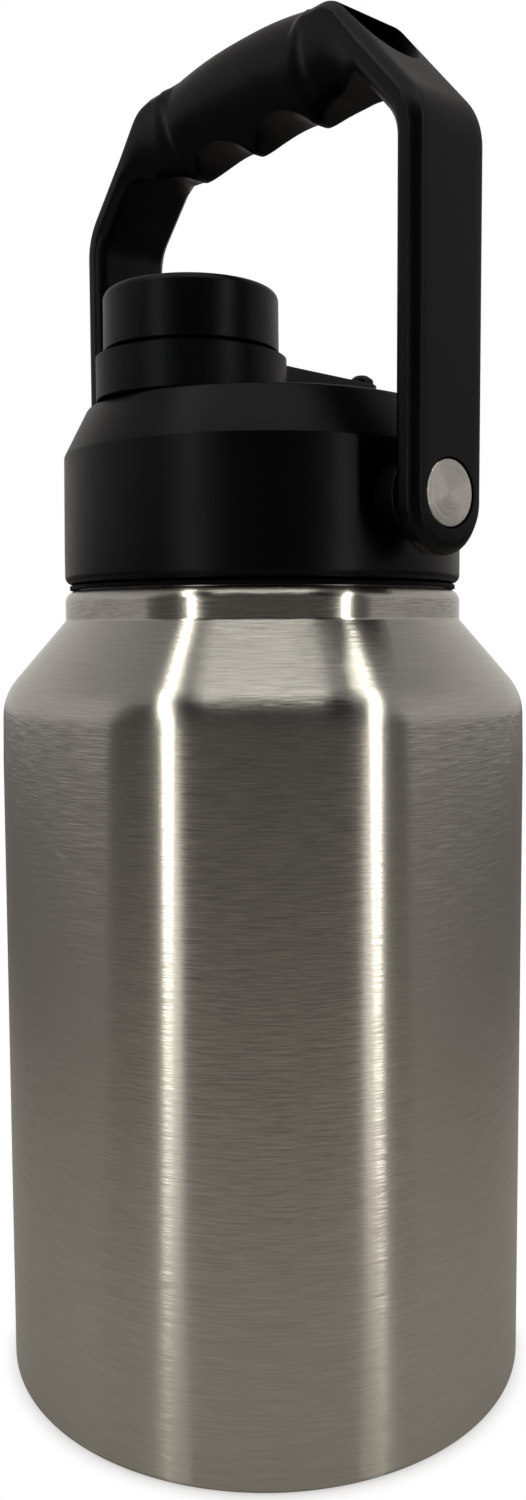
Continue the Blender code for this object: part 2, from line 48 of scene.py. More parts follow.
VERY_FINE = 240        # facets round the jug's outside
FINE = 160             # facets round the lid and the hidden turned pieces
MEDIUM = 112           # facets round the cap and the spout
SMALL = 64             # facets round the pivot hardware


def span(node):
    """Lowest and highest corner of a CAD node in millimetres."""
    low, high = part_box(node)
    return low / MM, high / MM


# ------------------------------------------------------------------ sizes read from the frame
shell_high = span("outer_shell")[1]
flask_high = span("inner_flask")[1]
lid_low, lid_high = span("lid_body")
spout_high = span("spout")[1]
cap_low, cap_high = span("cap_shell")
ring_low, ring_high = span("tether")
post_low, post_high = span("tether_post")
disc_low, disc_high = span("pivot_disc_right")
bail_high = span("handle")[1]

BODY_R = shell_high.x
SHELL_TOP = shell_high.z
RIM_Z = flask_high.z    # top of the steel
LID_R = -lid_low.y
LID_BOTTOM = lid_low.z
LID_TOP = lid_high.z
BOSS_X = lid_high.x     # face of a pivot boss
SPOUT_TOP = spout_high.z
CAP_R = cap_high.x
CAP_BOTTOM = cap_low.z
CAP_TOP = cap_high.z
SPOUT_Y = (cap_low.y + cap_high.y) / 2
RING_R = ring_high.x
RING_BOTTOM = ring_low.z
ARM_TOP = ring_high.z
POST_TOP = post_high.z
POST_BOTTOM = post_low.z
POST_Y = (post_low.y + post_high.y) / 2
PIVOT_Z = (disc_low.z + disc_high.z) / 2
LEG_OUT = bail_high.x   # outer face of a leg
LEG_W = bail_high.y     # half the width of a leg
CROWN_Z = bail_high.z   # top of the grip


# ------------------------------------------------------------------ sizes a box can't give
WALL_Z = 150.0          # top of the jug's straight wall
SLOPE_Z = 166.0         # where the shoulder's slope would meet the wall
NECK_R = 48.5           # steel ring under the lid
NECK_Z = 183.7          # foot of that ring
MOUTH_R = 45.4          # inner edge of the outer shell's rim
FLASK_R = 59.5          # outside radius of the inner flask
FLASK_Z = 7.0           # underside of the inner flask
FLASK_T = 0.8           # its wall
BORE_R = 44.3           # inside of the neck
THREAD_LEAD = 12.0      # rise of the lid per turn
LID_TOP_R = 42.5
LID_EDGE = 222.8        # where the lid's wall turns into the chamfer
LID_T = 3.0             # wall of the lid
LID_ROOF_Z = 231.0      # inside of the lid's top
BOSS_FLOOR = 48.7       # bottom of the hole in a pivot boss
PLUG_R = 41.9           # threaded stopper below the lid
PLUG_IN_R = 39.7
PLUG_BOTTOM = 172.0
PLUG_TOP = 199.0
SEAL_R = 47.4           # lip of the neck seal
SEAL_TOP = 196.4
SPOUT_R = 14.5
SPOUT_BORE = 12.5
SPOUT_HOLE = 14.8       # holes the spout passes through
CAP_T = 1.6             # wall of the cap
CAP_LEAD = 4.5          # rise of the cap per turn
SKIRT_R = 18.0          # threaded skirt inside the cap
SKIRT_IN_R = 16.2
SKIRT_BOTTOM = 235.0
RING_TOP = ARM_TOP - 1.1
RING_LIP_R = 18.7       # lip of the collar that the skirt's bead holds
RING_LIP_Z = 239.5
ARM_T = 3.5
ARM_END = 4.0           # half the arm's width about the post
POST_NECK_R = 1.8
DISC_R = 7.2            # bright disc over a pivot
LEG_T = 6.9
LEG_C = 2.07            # chamfer on the long edges of a leg
LEG_END_Z = 208.35      # centre of a leg's half round end


# ------------------------------------------------------------------ node helpers
class Nodes:
    """Small helper for building a material's node tree."""

    def __init__(self, name):
        self.mat = bpy.data.materials.new(name)
        self.mat.use_nodes = True
        self.tree = self.mat.node_tree
        self.bsdf = self.tree.nodes["Principled BSDF"]

    def add(self, kind, **values):
        node = self.tree.nodes.new(kind)
        for key, value in values.items():
            setattr(node, key, value)
        return node

    def link(self, a, b):
        self.tree.links.new(a, b)

    def math(self, operation, a, b=None):
        node = self.add("ShaderNodeMath", operation=operation)
        for slot, value in ((0, a), (1, b)):
            if value is None:
                continue
            if hasattr(value, "is_output"):
                self.link(value, node.inputs[slot])
            else:
                node.inputs[slot].default_value = value
        return node.outputs[0]

    def vector(self, operation, *inputs):
        node = self.add("ShaderNodeVectorMath", operation=operation)
        for slot, value in enumerate(inputs):
            self.link(value, node.inputs[slot])
        return node.outputs[0]

    def noise(self, vector, scale, detail=2.0, rough=0.5):
        node = self.add("ShaderNodeTexNoise")
        node.inputs["Scale"].default_value = scale
        node.inputs["Detail"].default_value = detail
        node.inputs["Roughness"].default_value = rough
        self.link(vector, node.inputs["Vector"])
        return node.outputs["Fac"]

    def spread(self, value, low, high, out_low, out_high, kind="LINEAR"):
        node = self.add("ShaderNodeMapRange", interpolation_type=kind)
        for slot, number in ((1, low), (2, high), (3, out_low), (4, out_high)):
            node.inputs[slot].default_value = number
        self.link(value, node.inputs[0])
        return node.outputs[0]

    def colour(self, fac, dark, light):
        node = self.add("ShaderNodeMix", data_type="RGBA")
        self.link(fac, node.inputs["Factor"])
        node.inputs["A"].default_value = (*dark, 1)
        node.inputs["B"].default_value = (*light, 1)
        return node.outputs["Result"]

    def bump(self, height, strength, distance):
        node = self.add("ShaderNodeBump")
        node.inputs["Strength"].default_value = strength
        node.inputs["Distance"].default_value = distance
        self.link(height, node.inputs["Height"])
        self.link(node.outputs["Normal"], self.bsdf.inputs["Normal"])

    def point(self):
        return self.add("ShaderNodeTexCoord").outputs["Object"]

    def axes(self, vector):
        node = self.add("ShaderNodeSeparateXYZ")
        self.link(vector, node.inputs[0])
        return node.outputs

    def join(self, x, y, z):
        node = self.add("ShaderNodeCombineXYZ")
        for slot, value in enumerate((x, y, z)):
            self.link(value, node.inputs[slot])
        return node.outputs[0]


def brushed_round(name, tint, rough, grain, turn_axis="Z", aniso=0.8, centre_z=0.0, groove=0.5):
    """Steel brushed in circles round an axis: long fine scratches, blurred across them."""
    n = Nodes(name)
    p = n.axes(n.point())
    if turn_axis == "Z":
        u, v, w = p[0], p[1], p[2]
    else:
        u, v, w = p[1], n.math("SUBTRACT", p[2], centre_z), p[0]
    radius = n.math("SQRT", n.math("ADD", n.math("MULTIPLY", u, u), n.math("MULTIPLY", v, v)))
    along = n.math("SUBTRACT", w, radius)

    def rings(length, width):
        """Coordinates that change slowly round the axis and fast across the scratches."""
        return n.join(n.math("MULTIPLY", u, length), n.math("MULTIPLY", v, length),
                      n.math("MULTIPLY", along, width))

    scratch = n.noise(rings(110.0, grain), 1.0, 3.0, 0.6)
    band = n.noise(rings(60.0, grain / 4), 1.0, 2.0, 0.5)
    both = n.math("ADD", n.math("MULTIPLY", scratch, 0.75), n.math("MULTIPLY", band, 0.25))
    dark = [c * 0.84 for c in tint]
    light = [c * 1.12 for c in tint]
    n.link(n.colour(n.spread(both, 0.3, 0.7, 0, 1), dark, light), n.bsdf.inputs["Base Color"])
    n.link(n.spread(both, 0.3, 0.7, rough + 0.02, rough - 0.02), n.bsdf.inputs["Roughness"])
    n.bsdf.inputs["Metallic"].default_value = 1.0
    n.bsdf.inputs["Anisotropic"].default_value = aniso
    n.bsdf.inputs["Anisotropic Rotation"].default_value = 0.25
    tangent = n.add("ShaderNodeTangent", direction_type="RADIAL", axis=turn_axis)
    n.link(tangent.outputs[0], n.bsdf.inputs["Tangent"])
    # grooves finer than the eye resolves tilt the surface across the brushing, never along it
    ridges = n.noise(rings(170.0, grain), 1.0, 2.0, 0.7)
    sway = n.math("MULTIPLY", n.math("SUBTRACT", ridges, 0.5), groove)
    normal = n.add("ShaderNodeNewGeometry").outputs["Normal"]
    tilt = n.add("ShaderNodeVectorMath", operation="SCALE")
    n.link(n.vector("CROSS_PRODUCT", normal, tangent.outputs[0]), tilt.inputs[0])
    n.link(sway, tilt.inputs["Scale"])
    leaning = n.vector("ADD", normal, tilt.outputs[0])
    n.link(n.vector("NORMALIZE", leaning), n.bsdf.inputs["Normal"])
    return n.mat


def moulded(name, tint, rough, grain=0.00003, specular=0.5):
    """Moulded plastic: an even spark-eroded grain with slow changes in gloss."""
    n = Nodes(name)
    p = n.point()
    pits = n.noise(p, 3200.0, 2.0, 0.6)
    slow = n.noise(p, 38.0, 3.0, 0.5)
    dust = n.noise(p, 900.0, 4.0, 0.7)
    n.link(n.colour(n.spread(slow, 0.35, 0.65, 0, 1), tint, [c * 1.6 for c in tint]),
           n.bsdf.inputs["Base Color"])
    mixed = n.math("ADD", n.math("MULTIPLY", slow, 0.6), n.math("MULTIPLY", dust, 0.4))
    n.link(n.spread(mixed, 0.35, 0.65, rough - 0.04, rough + 0.06), n.bsdf.inputs["Roughness"])
    n.bsdf.inputs["Specular IOR Level"].default_value = specular
    n.bsdf.inputs["Specular Tint"].default_value = (0.86, 0.92, 1.0, 1)
    n.bump(pits, 0.35, grain)
    return n.mat


def plain_metal(name, tint, rough):
    n = Nodes(name)
    p = n.point()
    slow = n.noise(p, 120.0, 4.0, 0.6)
    n.link(n.colour(slow, [c * 0.85 for c in tint], tint), n.bsdf.inputs["Base Color"])
    n.link(n.spread(slow, 0.3, 0.7, rough - 0.05, rough + 0.08), n.bsdf.inputs["Roughness"])
    n.bsdf.inputs["Metallic"].default_value = 1.0
    return n.mat


def foamed(name, tint):
    """Rigid foam: cells and a chalky surface."""
    n = Nodes(name)
    cell = n.add("ShaderNodeTexVoronoi")
    cell.inputs["Scale"].default_value = 900.0
    n.link(n.point(), cell.inputs["Vector"])
    n.link(n.colour(n.spread(cell.outputs["Distance"], 0, 0.6, 0, 1), [c * 0.8 for c in tint], tint),
           n.bsdf.inputs["Base Color"])
    n.bsdf.inputs["Roughness"].default_value = 0.9
    n.bump(cell.outputs["Distance"], 0.6, 0.0003)
    return n.mat


STEEL = brushed_round("brushed_steel", (0.47, 0.46, 0.425), 0.22, 9000.0, aniso=1.0, groove=0.7)
STEEL_IN = brushed_round("satin_steel", (0.60, 0.59, 0.57), 0.36, 5000.0)
BLACK = moulded("black_plastic", (0.0004, 0.0004, 0.0006), 0.35, specular=0.145)
BLACK_SOFT = moulded("black_tether", (0.0004, 0.0006, 0.0008), 0.40, specular=0.15)
SILICONE = moulded("black_silicone", (0.0008, 0.0008, 0.001), 0.6, 0.00001, 0.06)
GREY_RUBBER = moulded("grey_silicone", (0.25, 0.25, 0.25), 0.55, 0.00001, 0.4)
NYLON = moulded("white_nylon", (0.55, 0.55, 0.52), 0.45)
FOAM = foamed("pale_foam", (0.75, 0.70, 0.55))
GETTER = foamed("sintered_pellet", (0.2, 0.2, 0.21))
SCREW = plain_metal("screw_steel", (0.5, 0.5, 0.5), 0.32)
BRASS = plain_metal("brass", (0.72, 0.52, 0.2), 0.3)


# ------------------------------------------------------------------ shape helpers
def arc_corners(points, step):
    """Round the corners of a path of (r, z, radius) with arcs."""
    out = []
    for i, (r, z, rad) in enumerate(points):
        p = Vector((r, z))
        if rad <= 0 or i in (0, len(points) - 1):
            out.append((r, z))
            continue
        a = (Vector(points[i - 1][:2]) - p).normalized()
        b = (Vector(points[i + 1][:2]) - p).normalized()
        half = math.acos(max(-1, min(1, a.dot(b)))) / 2
        reach = rad / math.tan(half)
        mid = (a + b).normalized() * (rad / math.sin(half)) + p
        va = p + a * reach - mid
        vb = p + b * reach - mid
        turn = math.pi - 2 * half
        sign = 1 if va.x * vb.y - va.y * vb.x > 0 else -1
        count = max(3, int(math.ceil(math.degrees(turn) / step)))
        for k in range(count + 1):
            t = sign * turn * k / count
            out.append((mid.x + va.x * math.cos(t) - va.y * math.sin(t),
                        mid.y + va.x * math.sin(t) + va.y * math.cos(t)))
    return out


def place(name, mesh, material, body=None, nodes=()):
    """Object in the scene; with a body, a piece that rides on it and stands for CAD nodes."""
    obj = bpy.data.objects.new(name, mesh)
    COL.objects.link(obj)
    obj.data.materials.append(material)
    if body:
        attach(obj, body)
        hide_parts(*nodes)
    return obj


def mesh_of(name, bm, sharp=35.0):
    """Mesh of a bmesh, smooth but for its sharp edges."""
    bmesh.ops.recalc_face_normals(bm, faces=bm.faces)
    mesh = bpy.data.meshes.new(name)
    bm.to_mesh(mesh)
    bm.free()
    mesh.shade_smooth()
    mesh.set_sharp_from_angle(angle=math.radians(sharp))
    return mesh


def turned_mesh(name, path, seg, matrix=Matrix.Identity(4), closed=True, step=9.0, phase=0.0):
    """Surface of revolution of a path in millimetres."""
    pts = arc_corners(path, step)
    bm = bmesh.new()
    rings = []
    for r, z in pts:
        if r < 1e-6:
            rings.append([bm.verts.new((0, 0, z * MM))])
            continue
        ring = []
        for k in range(seg):
            a = phase + 2 * math.pi * k / seg
            ring.append(bm.verts.new((r * MM * math.cos(a), r * MM * math.sin(a), z * MM)))
        rings.append(ring)
    pairs = list(zip(rings, rings[1:]))
    if closed:
        pairs.append((rings[-1], rings[0]))
    for a, b in pairs:
        for k in range(seg):
            j = (k + 1) % seg
            quad = [a[k % len(a)], b[k % len(b)], b[j % len(b)], a[j % len(a)]]
            face = []
            for v in quad:
                if v not in face:
                    face.append(v)
            if len(face) > 2:
                bm.faces.new(face)
    bm.transform(matrix)
    return mesh_of(name, bm)


def ridge_mesh(name, root, crest, base, tip, lead, z0, turns, seg, phase, at=(0, 0)):
    """Screw-thread ridge that fades in and out."""
    bm = bmesh.new()
    rows = []
    steps = int(seg * turns)
    for i in range(steps + 1):
        t = i / steps
        fade = math.sin(min(1.0, t * turns * 7 + 0.1, (1 - t) * turns * 7 + 0.1) * math.pi / 2)
        a = phase + 2 * math.pi * turns * t
        z = z0 + lead * turns * t
        edge = root + (crest - root) * fade
        near = root + (crest - root) * fade * 0.72
        row = []
        for r, dz in ((root, -base / 2), (near, -tip * 0.72), (edge, -tip / 3), (edge, tip / 3),
                      (near, tip * 0.72), (root, base / 2)):
            row.append(bm.verts.new(((at[0] + r * math.cos(a)) * MM, (at[1] + r * math.sin(a)) * MM,
                                     (z + dz) * MM)))
        rows.append(row)
    for a, b in zip(rows, rows[1:]):
        for k in range(6):
            j = (k + 1) % 6
            bm.faces.new((a[k], b[k], b[j], a[j]))
    bm.faces.new(rows[0])
    bm.faces.new(rows[-1][::-1])
    return mesh_of(name, bm, 60)


def combine(obj, mesh, kind):
    """Boolean of the given kind with a throwaway tool, applied."""
    tool = bpy.data.objects.new("tool", mesh)
    COL.objects.link(tool)
    bpy.context.view_layer.update()
    tool.matrix_world = obj.matrix_world
    mod = obj.modifiers.new(kind, "BOOLEAN")
    mod.operation = kind
    mod.solver = "EXACT"
    mod.object = tool
    bpy.context.view_layer.update()
    made = bpy.data.meshes.new_from_object(obj.evaluated_get(bpy.context.evaluated_depsgraph_get()))
    obj.modifiers.clear()
    obj.data = made
    bpy.data.objects.remove(tool, do_unlink=True)


def resharpen(obj, angle=35.0):
    obj.data.shade_smooth()
    obj.data.set_sharp_from_angle(angle=math.radians(angle))


def along_x(side):
    """Turns a piece made about Z so that its axis is the pivot axis, pointing out on one side."""
    return Matrix.Translation((0, 0, PIVOT_Z * MM)) @ Matrix.Rotation(side * math.pi / 2, 4, "Y")


def at_spout():
    return Matrix.Translation((0, SPOUT_Y * MM, 0))


def at_post():
    return Matrix.Translation((0, POST_Y * MM, 0))


def drill(obj, radius, low, high, seg, matrix):
    """Cuts a straight hole between two heights."""
    hole = [(0, high, 0), (radius, high, 0), (radius, low, 0), (0, low, 0)]
    combine(obj, turned_mesh("hole", hole, seg, matrix, closed=False), "DIFFERENCE")


# ------------------------------------------------------------------ jug
THREAD_PHASE = 0.079           # start of the neck's thread and of the stopper's
CAP_PHASE = 0.098              # start of the spout's thread and of the skirt's


def make_jug():
    shell = [
        (MOUTH_R, SHELL_TOP, 0), (NECK_R, SHELL_TOP, 2.8), (NECK_R, NECK_Z, 1.1), (63.7, SLOPE_Z, 14.0),
        (BODY_R, WALL_Z, 0), (BODY_R, 100.0, 0), (BODY_R, 50.0, 0), (BODY_R, 0.0, 1.9),
        (60.4, 0.0, 0.3), (60.4, 1.0, 0),
        (BODY_R - 1, 2.4, 0.8), (BODY_R - 1, WALL_Z, 0), (62.9, SLOPE_Z - 0.4, 12.0),
        (NECK_R - 1, NECK_Z - 0.3, 0.6), (NECK_R - 1, RIM_Z - 3, 0.6), (MOUTH_R, RIM_Z - 1.2, 0)]
    place("jug_shell", turned_mesh("jug_shell", shell, VERY_FINE, step=4.0), STEEL, "vessel",
          ["outer_shell"])

    inner = FLASK_R - FLASK_T - 0.2
    walls = [
        (BORE_R + FLASK_T, RIM_Z, 0.35), (BORE_R + FLASK_T, 179.6, 3.0), (FLASK_R - 0.2, 164.2, 11.0),
        (FLASK_R, WALL_Z, 0), (FLASK_R, FLASK_Z, 9.0), (0, FLASK_Z, 0),
        (0, FLASK_Z + FLASK_T, 0), (FLASK_R - FLASK_T, FLASK_Z + FLASK_T, 8.2),
        (FLASK_R - FLASK_T, WALL_Z, 0), (inner, 163.9, 10.2), (BORE_R, 179.3, 2.6), (BORE_R, RIM_Z, 0.35)]
    flask = place("flask", turned_mesh("flask", walls, FINE), STEEL_IN, "vessel", ["inner_flask"])
    combine(flask, ridge_mesh("neck_thread", BORE_R + 0.3, 42.9, 3.0, 1.5, THREAD_LEAD, 182.5, 0.5,
                              FINE, THREAD_PHASE), "UNION")
    resharpen(flask)

    cup = [
        (60.0, 2.8, 0), (60.0, 2.0, 0.2), (50.0, 2.0, 1.2), (48.5, 3.4, 1.2), (12.0, 3.4, 1.2),
        (10.0, 4.6, 0.8), (2.0, 4.6, 0),
        (2.0, 5.4, 0), (10.4, 5.4, 0.8), (12.4, 4.2, 1.2), (48.8, 4.2, 1.2), (50.3, 2.8, 1.0)]
    place("base_cup", turned_mesh("base_cup", cup, FINE), STEEL, "vessel", ["base_plate"])
    seal = [(0, 4.3, 0), (9.0, 4.3, 0), (9.0, 3.6, 0.2), (8.0, 3.3, 0.4), (0, 3.3, 0)]
    place("vacuum_disc", turned_mesh("vacuum_disc", seal, SMALL, closed=False), STEEL_IN, "vessel",
          ["vacuum_seal"])


# ------------------------------------------------------------------ lid
def make_lid():
    inside = LID_R - LID_T
    cover = [
        (0, LID_TOP, 0), (20.0, LID_TOP, 0), (LID_TOP_R, LID_TOP, 1.1), (LID_R - 0.25, LID_EDGE, 1.3),
        (LID_R, 200.0, 0), (LID_R, LID_BOTTOM, 2.0),
        (inside, LID_BOTTOM, 0.4), (inside, LID_EDGE - 1.2, 0), (40.4, LID_ROOF_Z, 0), (0, LID_ROOF_Z, 0)]
    lid = place("lid_cover", turned_mesh("lid_cover", cover, FINE, closed=False), BLACK, "lid",
                ["lid_body"])
    boss = [(4.8, BOSS_X, 0), (9.0, BOSS_X, 0.7), (9.0, 44.0, 0), (0, 44.0, 0), (0, BOSS_FLOOR, 0),
            (4.8, BOSS_FLOOR, 0)]
    for side in (1, -1):
        combine(lid, turned_mesh("boss", boss, SMALL, along_x(side), phase=0.02), "UNION")
    drill(lid, SPOUT_HOLE, 225.0, 240.0, MEDIUM, at_spout())
    resharpen(lid, 30)

    stopper = [
        (45.2, PLUG_TOP, 0), (45.2, 196.8, 0), (PLUG_R, 196.8, 0), (PLUG_R, PLUG_BOTTOM, 1.5),
        (0, PLUG_BOTTOM, 0), (0, PLUG_BOTTOM + 2.4, 0), (PLUG_IN_R, PLUG_BOTTOM + 2.4, 0),
        (PLUG_IN_R, PLUG_TOP, 0)]
    plug = place("lid_stopper", turned_mesh("lid_stopper", stopper, FINE), BLACK, "lid", ["lid_plug"])
    combine(plug, ridge_mesh("plug_thread", PLUG_R - 0.3, 43.5, 3.2, 1.5, THREAD_LEAD, 176.0, 1.25,
                             FINE, THREAD_PHASE), "UNION")
    drill(plug, SPOUT_HOLE, 165.0, 180.0, MEDIUM, at_spout())
    resharpen(plug)

    # the lip droops over the steel rim and fills the gap below the lid
    lip = [
        (44.4, SEAL_TOP, 0), (44.4, 193.0, 0.6), (45.1, 192.2, 0.3), (SEAL_R, 192.15, 0.3),
        (SEAL_R, 190.95, 0.2), (46.2, 191.45, 0), (42.3, 191.5, 0.3), (42.3, SEAL_TOP, 0)]
    place("neck_seal", turned_mesh("neck_seal", lip, FINE), SILICONE, "lid_lift", ["lid_seal"])

    tube = [(SPOUT_BORE, SPOUT_TOP, 0.6), (SPOUT_R, SPOUT_TOP, 0.9), (SPOUT_R, PLUG_BOTTOM, 0),
            (SPOUT_BORE, PLUG_BOTTOM, 0)]
    spout = place("drinking_spout", turned_mesh("drinking_spout", tube, MEDIUM, at_spout()), BLACK,
                  "lid", ["spout"])
    combine(spout, ridge_mesh("spout_thread", SPOUT_R - 0.3, 15.6, 1.6, 0.8, CAP_LEAD, 239.5, 1.25,
                              MEDIUM, CAP_PHASE, (0, SPOUT_Y)), "UNION")
    resharpen(spout)

    low = ARM_TOP - ARM_T - 0.4
    high = ARM_TOP + 0.3
    mushroom = [
        (0, POST_TOP, 0), (1.6, POST_TOP - 0.1, 1.4), (3.2, ARM_TOP + 1.2, 0.9), (3.2, high, 0),
        (POST_NECK_R, high, 0), (POST_NECK_R, low, 0), (5.2, low, 0.5), (5.4, POST_BOTTOM, 0),
        (0, POST_BOTTOM, 0)]
    place("post", turned_mesh("post", mushroom, SMALL, at_post(), closed=False), BLACK, "lid",
          ["tether_post"])


# ------------------------------------------------------------------ cap and tether
def make_cap():
    ceiling = CAP_TOP - 1.7
    cover = [
        (0, CAP_TOP - 0.3, 0), (12.0, CAP_TOP - 0.15, 0), (CAP_R - 0.1, CAP_TOP, 2.0),
        (CAP_R, CAP_BOTTOM, 0.5), (CAP_R - CAP_T, CAP_BOTTOM, 0.2), (CAP_R - CAP_T, ceiling, 0),
        (0, ceiling, 0)]
    place("cap_cover", turned_mesh("cap_cover", cover, MEDIUM, at_spout(), closed=False, step=7.0),
          BLACK, "cap", ["cap_shell"])

    # the bead at the skirt's foot holds the tether's collar
    skirt = [
        (0, 255.4, 0), (SKIRT_R + 0.5, 255.4, 0), (SKIRT_R + 0.5, 245.0, 0.2), (SKIRT_R, 245.0, 0.2),
        (SKIRT_R, 237.2, 0), (19.0, 236.6, 0.2), (18.7, SKIRT_BOTTOM, 0.2),
        (SKIRT_IN_R, SKIRT_BOTTOM, 0.3), (SKIRT_IN_R, 253.6, 0), (0, 253.6, 0)]
    liner = place("cap_skirt", turned_mesh("cap_skirt", skirt, MEDIUM, at_spout(), closed=False), BLACK,
                  "cap", ["cap_liner"])
    combine(liner, ridge_mesh("skirt_thread", SKIRT_IN_R + 0.3, 15.0, 1.6, 0.8, CAP_LEAD, 241.75, 1.0,
                              MEDIUM, CAP_PHASE, (0, SPOUT_Y)), "UNION")
    resharpen(liner)


def arm_mesh():
    """Arm of the tether: wide where it leaves the collar, tapering to a round end about the post."""
    root_r = 20.9
    root_y = -2.4
    side = []
    for k in range(25):
        y = root_y + (POST_Y - root_y) * k / 24
        side.append((ARM_END + 3.0 * (1 - y / POST_Y) + 2.6 * math.exp((root_y - y) / 2.0), y))
    outline = side[:-1]
    for k in range(33):
        a = math.pi * k / 32
        outline.append((ARM_END * math.cos(a), POST_Y + ARM_END * math.sin(a)))
    outline += [(-x, y) for x, y in side[-2::-1]]
    for k in range(1, 12):
        a = math.asin(side[0][0] / root_r) * (k / 6 - 1)
        outline.append((root_r * math.sin(a), SPOUT_Y + root_r * math.cos(a)))
    bm = bmesh.new()
    base = bm.faces.new([bm.verts.new((x * MM, y * MM, (ARM_TOP - ARM_T) * MM)) for x, y in outline])
    top = bmesh.ops.extrude_face_region(bm, geom=[base])
    lifted = [v for v in top["geom"] if isinstance(v, bmesh.types.BMVert)]
    bmesh.ops.translate(bm, verts=lifted, vec=(0, 0, ARM_T * MM))
    edges = [e for e in bm.edges if all(v in lifted for v in e.verts)]
    bmesh.ops.bevel(bm, geom=edges, offset=0.5 * MM, segments=3, profile=0.5, affect="EDGES")
    return mesh_of("arm", bm)


def make_tether():
    collar = [
        (RING_R, RING_TOP, 1.0), (RING_R, RING_BOTTOM, 0.3), (20.0, RING_BOTTOM, 0), (20.0, RING_LIP_Z, 0),
        (RING_LIP_R, RING_LIP_Z, 0), (RING_LIP_R, RING_TOP, 0.3)]
    ring = place("tether_collar", turned_mesh("tether_collar", collar, MEDIUM, at_spout(), step=12.0),
                 BLACK_SOFT, "tether", ["tether"])
    combine(ring, arm_mesh(), "UNION")
    drill(ring, POST_NECK_R + 0.5, 238.0, 252.0, SMALL, at_post())
    resharpen(ring, 30)


# ------------------------------------------------------------------ handle
SLANT = math.radians(47.7)     # fall of the shoulders
KNEE_R = 16.0                  # outside radius from slant to leg
KNEE_Z = 282.28
FLAT_Z = 317.0                 # flat top beside the hump
FLAT_SIDE = 8.0                # depth at which a flat section starts to narrow
CORNER_X = 35.36               # where the slant would meet the flat top
CORNER_R = 9.0
GRIP_R = 11.4                  # radius of the crown
GRIP_END = 31.4                # where the grip's last groove meets the corner
RIB_Z = CROWN_Z - 27.0         # lowest point of the ribs
FINGER = 22.7                  # finger spacing
GROOVE_TOP = 300.3             # roof of the two middle finger grooves
END_GROOVE_TOP = 298.4         # roof of the two outer ones
INNER_BEND = (38.5, 299.6)     # where an outer groove turns down into the leg
RIB_FROM = 0.86                # where a groove's arc turns into the rib
HUMP = 23.0                    # where the hump begins to fall to the flat top
EASE = 0.45                    # eased edges beside the chamfers


def smooth(value, low, high):
    """Goes from 0 to 1 in an S as the value goes from low to high."""
    t = min(1.0, max(0.0, (value - low) / (high - low)))
    return t * t * (3 - 2 * t)


def hump(x):
    """Crown height: a shallow arch that drops in a short S to the flat top."""
    arch = CROWN_Z - 2.0 * (x / HUMP) ** 2.2
    s = smooth(x, HUMP, HUMP + 5.5)
    return arch * (1 - s) + FLAT_Z * s


def underside(x):
    """Four finger grooves: arcs with rounded ribs between them, the outer two shallower."""
    t = abs((x % FINGER) / FINGER * 2 - 1)
    roof = GROOVE_TOP if x < FINGER else END_GROOVE_TOP
    if t < RIB_FROM:
        fall = RIB_FROM * (1 - math.sqrt(1 - (t / RIB_FROM) ** 2 * 0.86)) / (1 - math.sqrt(0.14))
    else:
        fall = 1 - (1 - RIB_FROM) * ((1 - t) / (1 - RIB_FROM)) ** 2
    return roof - (roof - RIB_Z) * fall


def egg(z, top):
    """Half width at height z: a full circle above its middle, narrowing to a blunt edge below."""
    centre = top - GRIP_R
    if z >= centre:
        return math.sqrt(max(0.0, GRIP_R ** 2 - (z - centre) ** 2))
    t = min(1.0, (centre - z) / (centre - RIB_Z + 0.9))
    return GRIP_R * (1 - t ** 1.8) ** 0.9


def round_section(x):
    """Half section of the grip as (y, depth below the top); its sides flatten toward the ends."""
    top = hump(x)
    low = underside(x)
    centre = top - GRIP_R
    wide = egg(low, FLAT_Z + 4)
    flatter = smooth(x, 12.0, 28.0)
    half = []
    for degrees in (0, 14, 28, 42, 54, 64, 74, 84):
        a = math.radians(degrees)
        half.append((GRIP_R * math.sin(a), GRIP_R * (1 - math.cos(a))))
    for k in (1, 2, 3, 4, 5, 6, 7):
        z = centre + (low + 0.35 - centre) * k / 7
        sunk = min(1.0, max(0.0, (FLAT_Z - FLAT_SIDE - z) / (FLAT_Z - FLAT_SIDE - low)))
        beside = LEG_W + (wide - LEG_W) * (1 - (1 - sunk) ** 0.8) ** 1.7
        half.append((egg(z, top) * (1 - flatter) + beside * flatter, top - z))
    width = half[-1][0]
    for k, drop in ((1, 0.2), (2, 0.3), (3, 0.35), (4, 0.35), (5, 0.35)):
        half.append((width * (1 - k / 5), top - low - 0.35 + drop))
    return half


def flat_section(depth, low_w):
    """Half section with chamfered flat top, flat side and narrowing underside."""
    half = [(0, 0), (2.4, 0), (4.7, 0), (7.0, 0), (LEG_W - LEG_C - EASE, 0), (LEG_W - LEG_C, 0.12),
            (LEG_W - 0.12, LEG_C), (LEG_W, LEG_C + EASE)]
    half += [(LEG_W, LEG_C + EASE + (FLAT_SIDE - LEG_C - EASE) * k / 3) for k in (1, 2, 3)]
    for k in (1, 2, 3, 4):
        t = k / 4
        half.append((LEG_W + (low_w - LEG_W) * t ** 1.7,
                     FLAT_SIDE + (depth - FLAT_SIDE) * (1 - (1 - t) ** 1.25)))
    return half + [(low_w * (1 - k / 5), depth) for k in (1, 2, 3, 4, 5)]


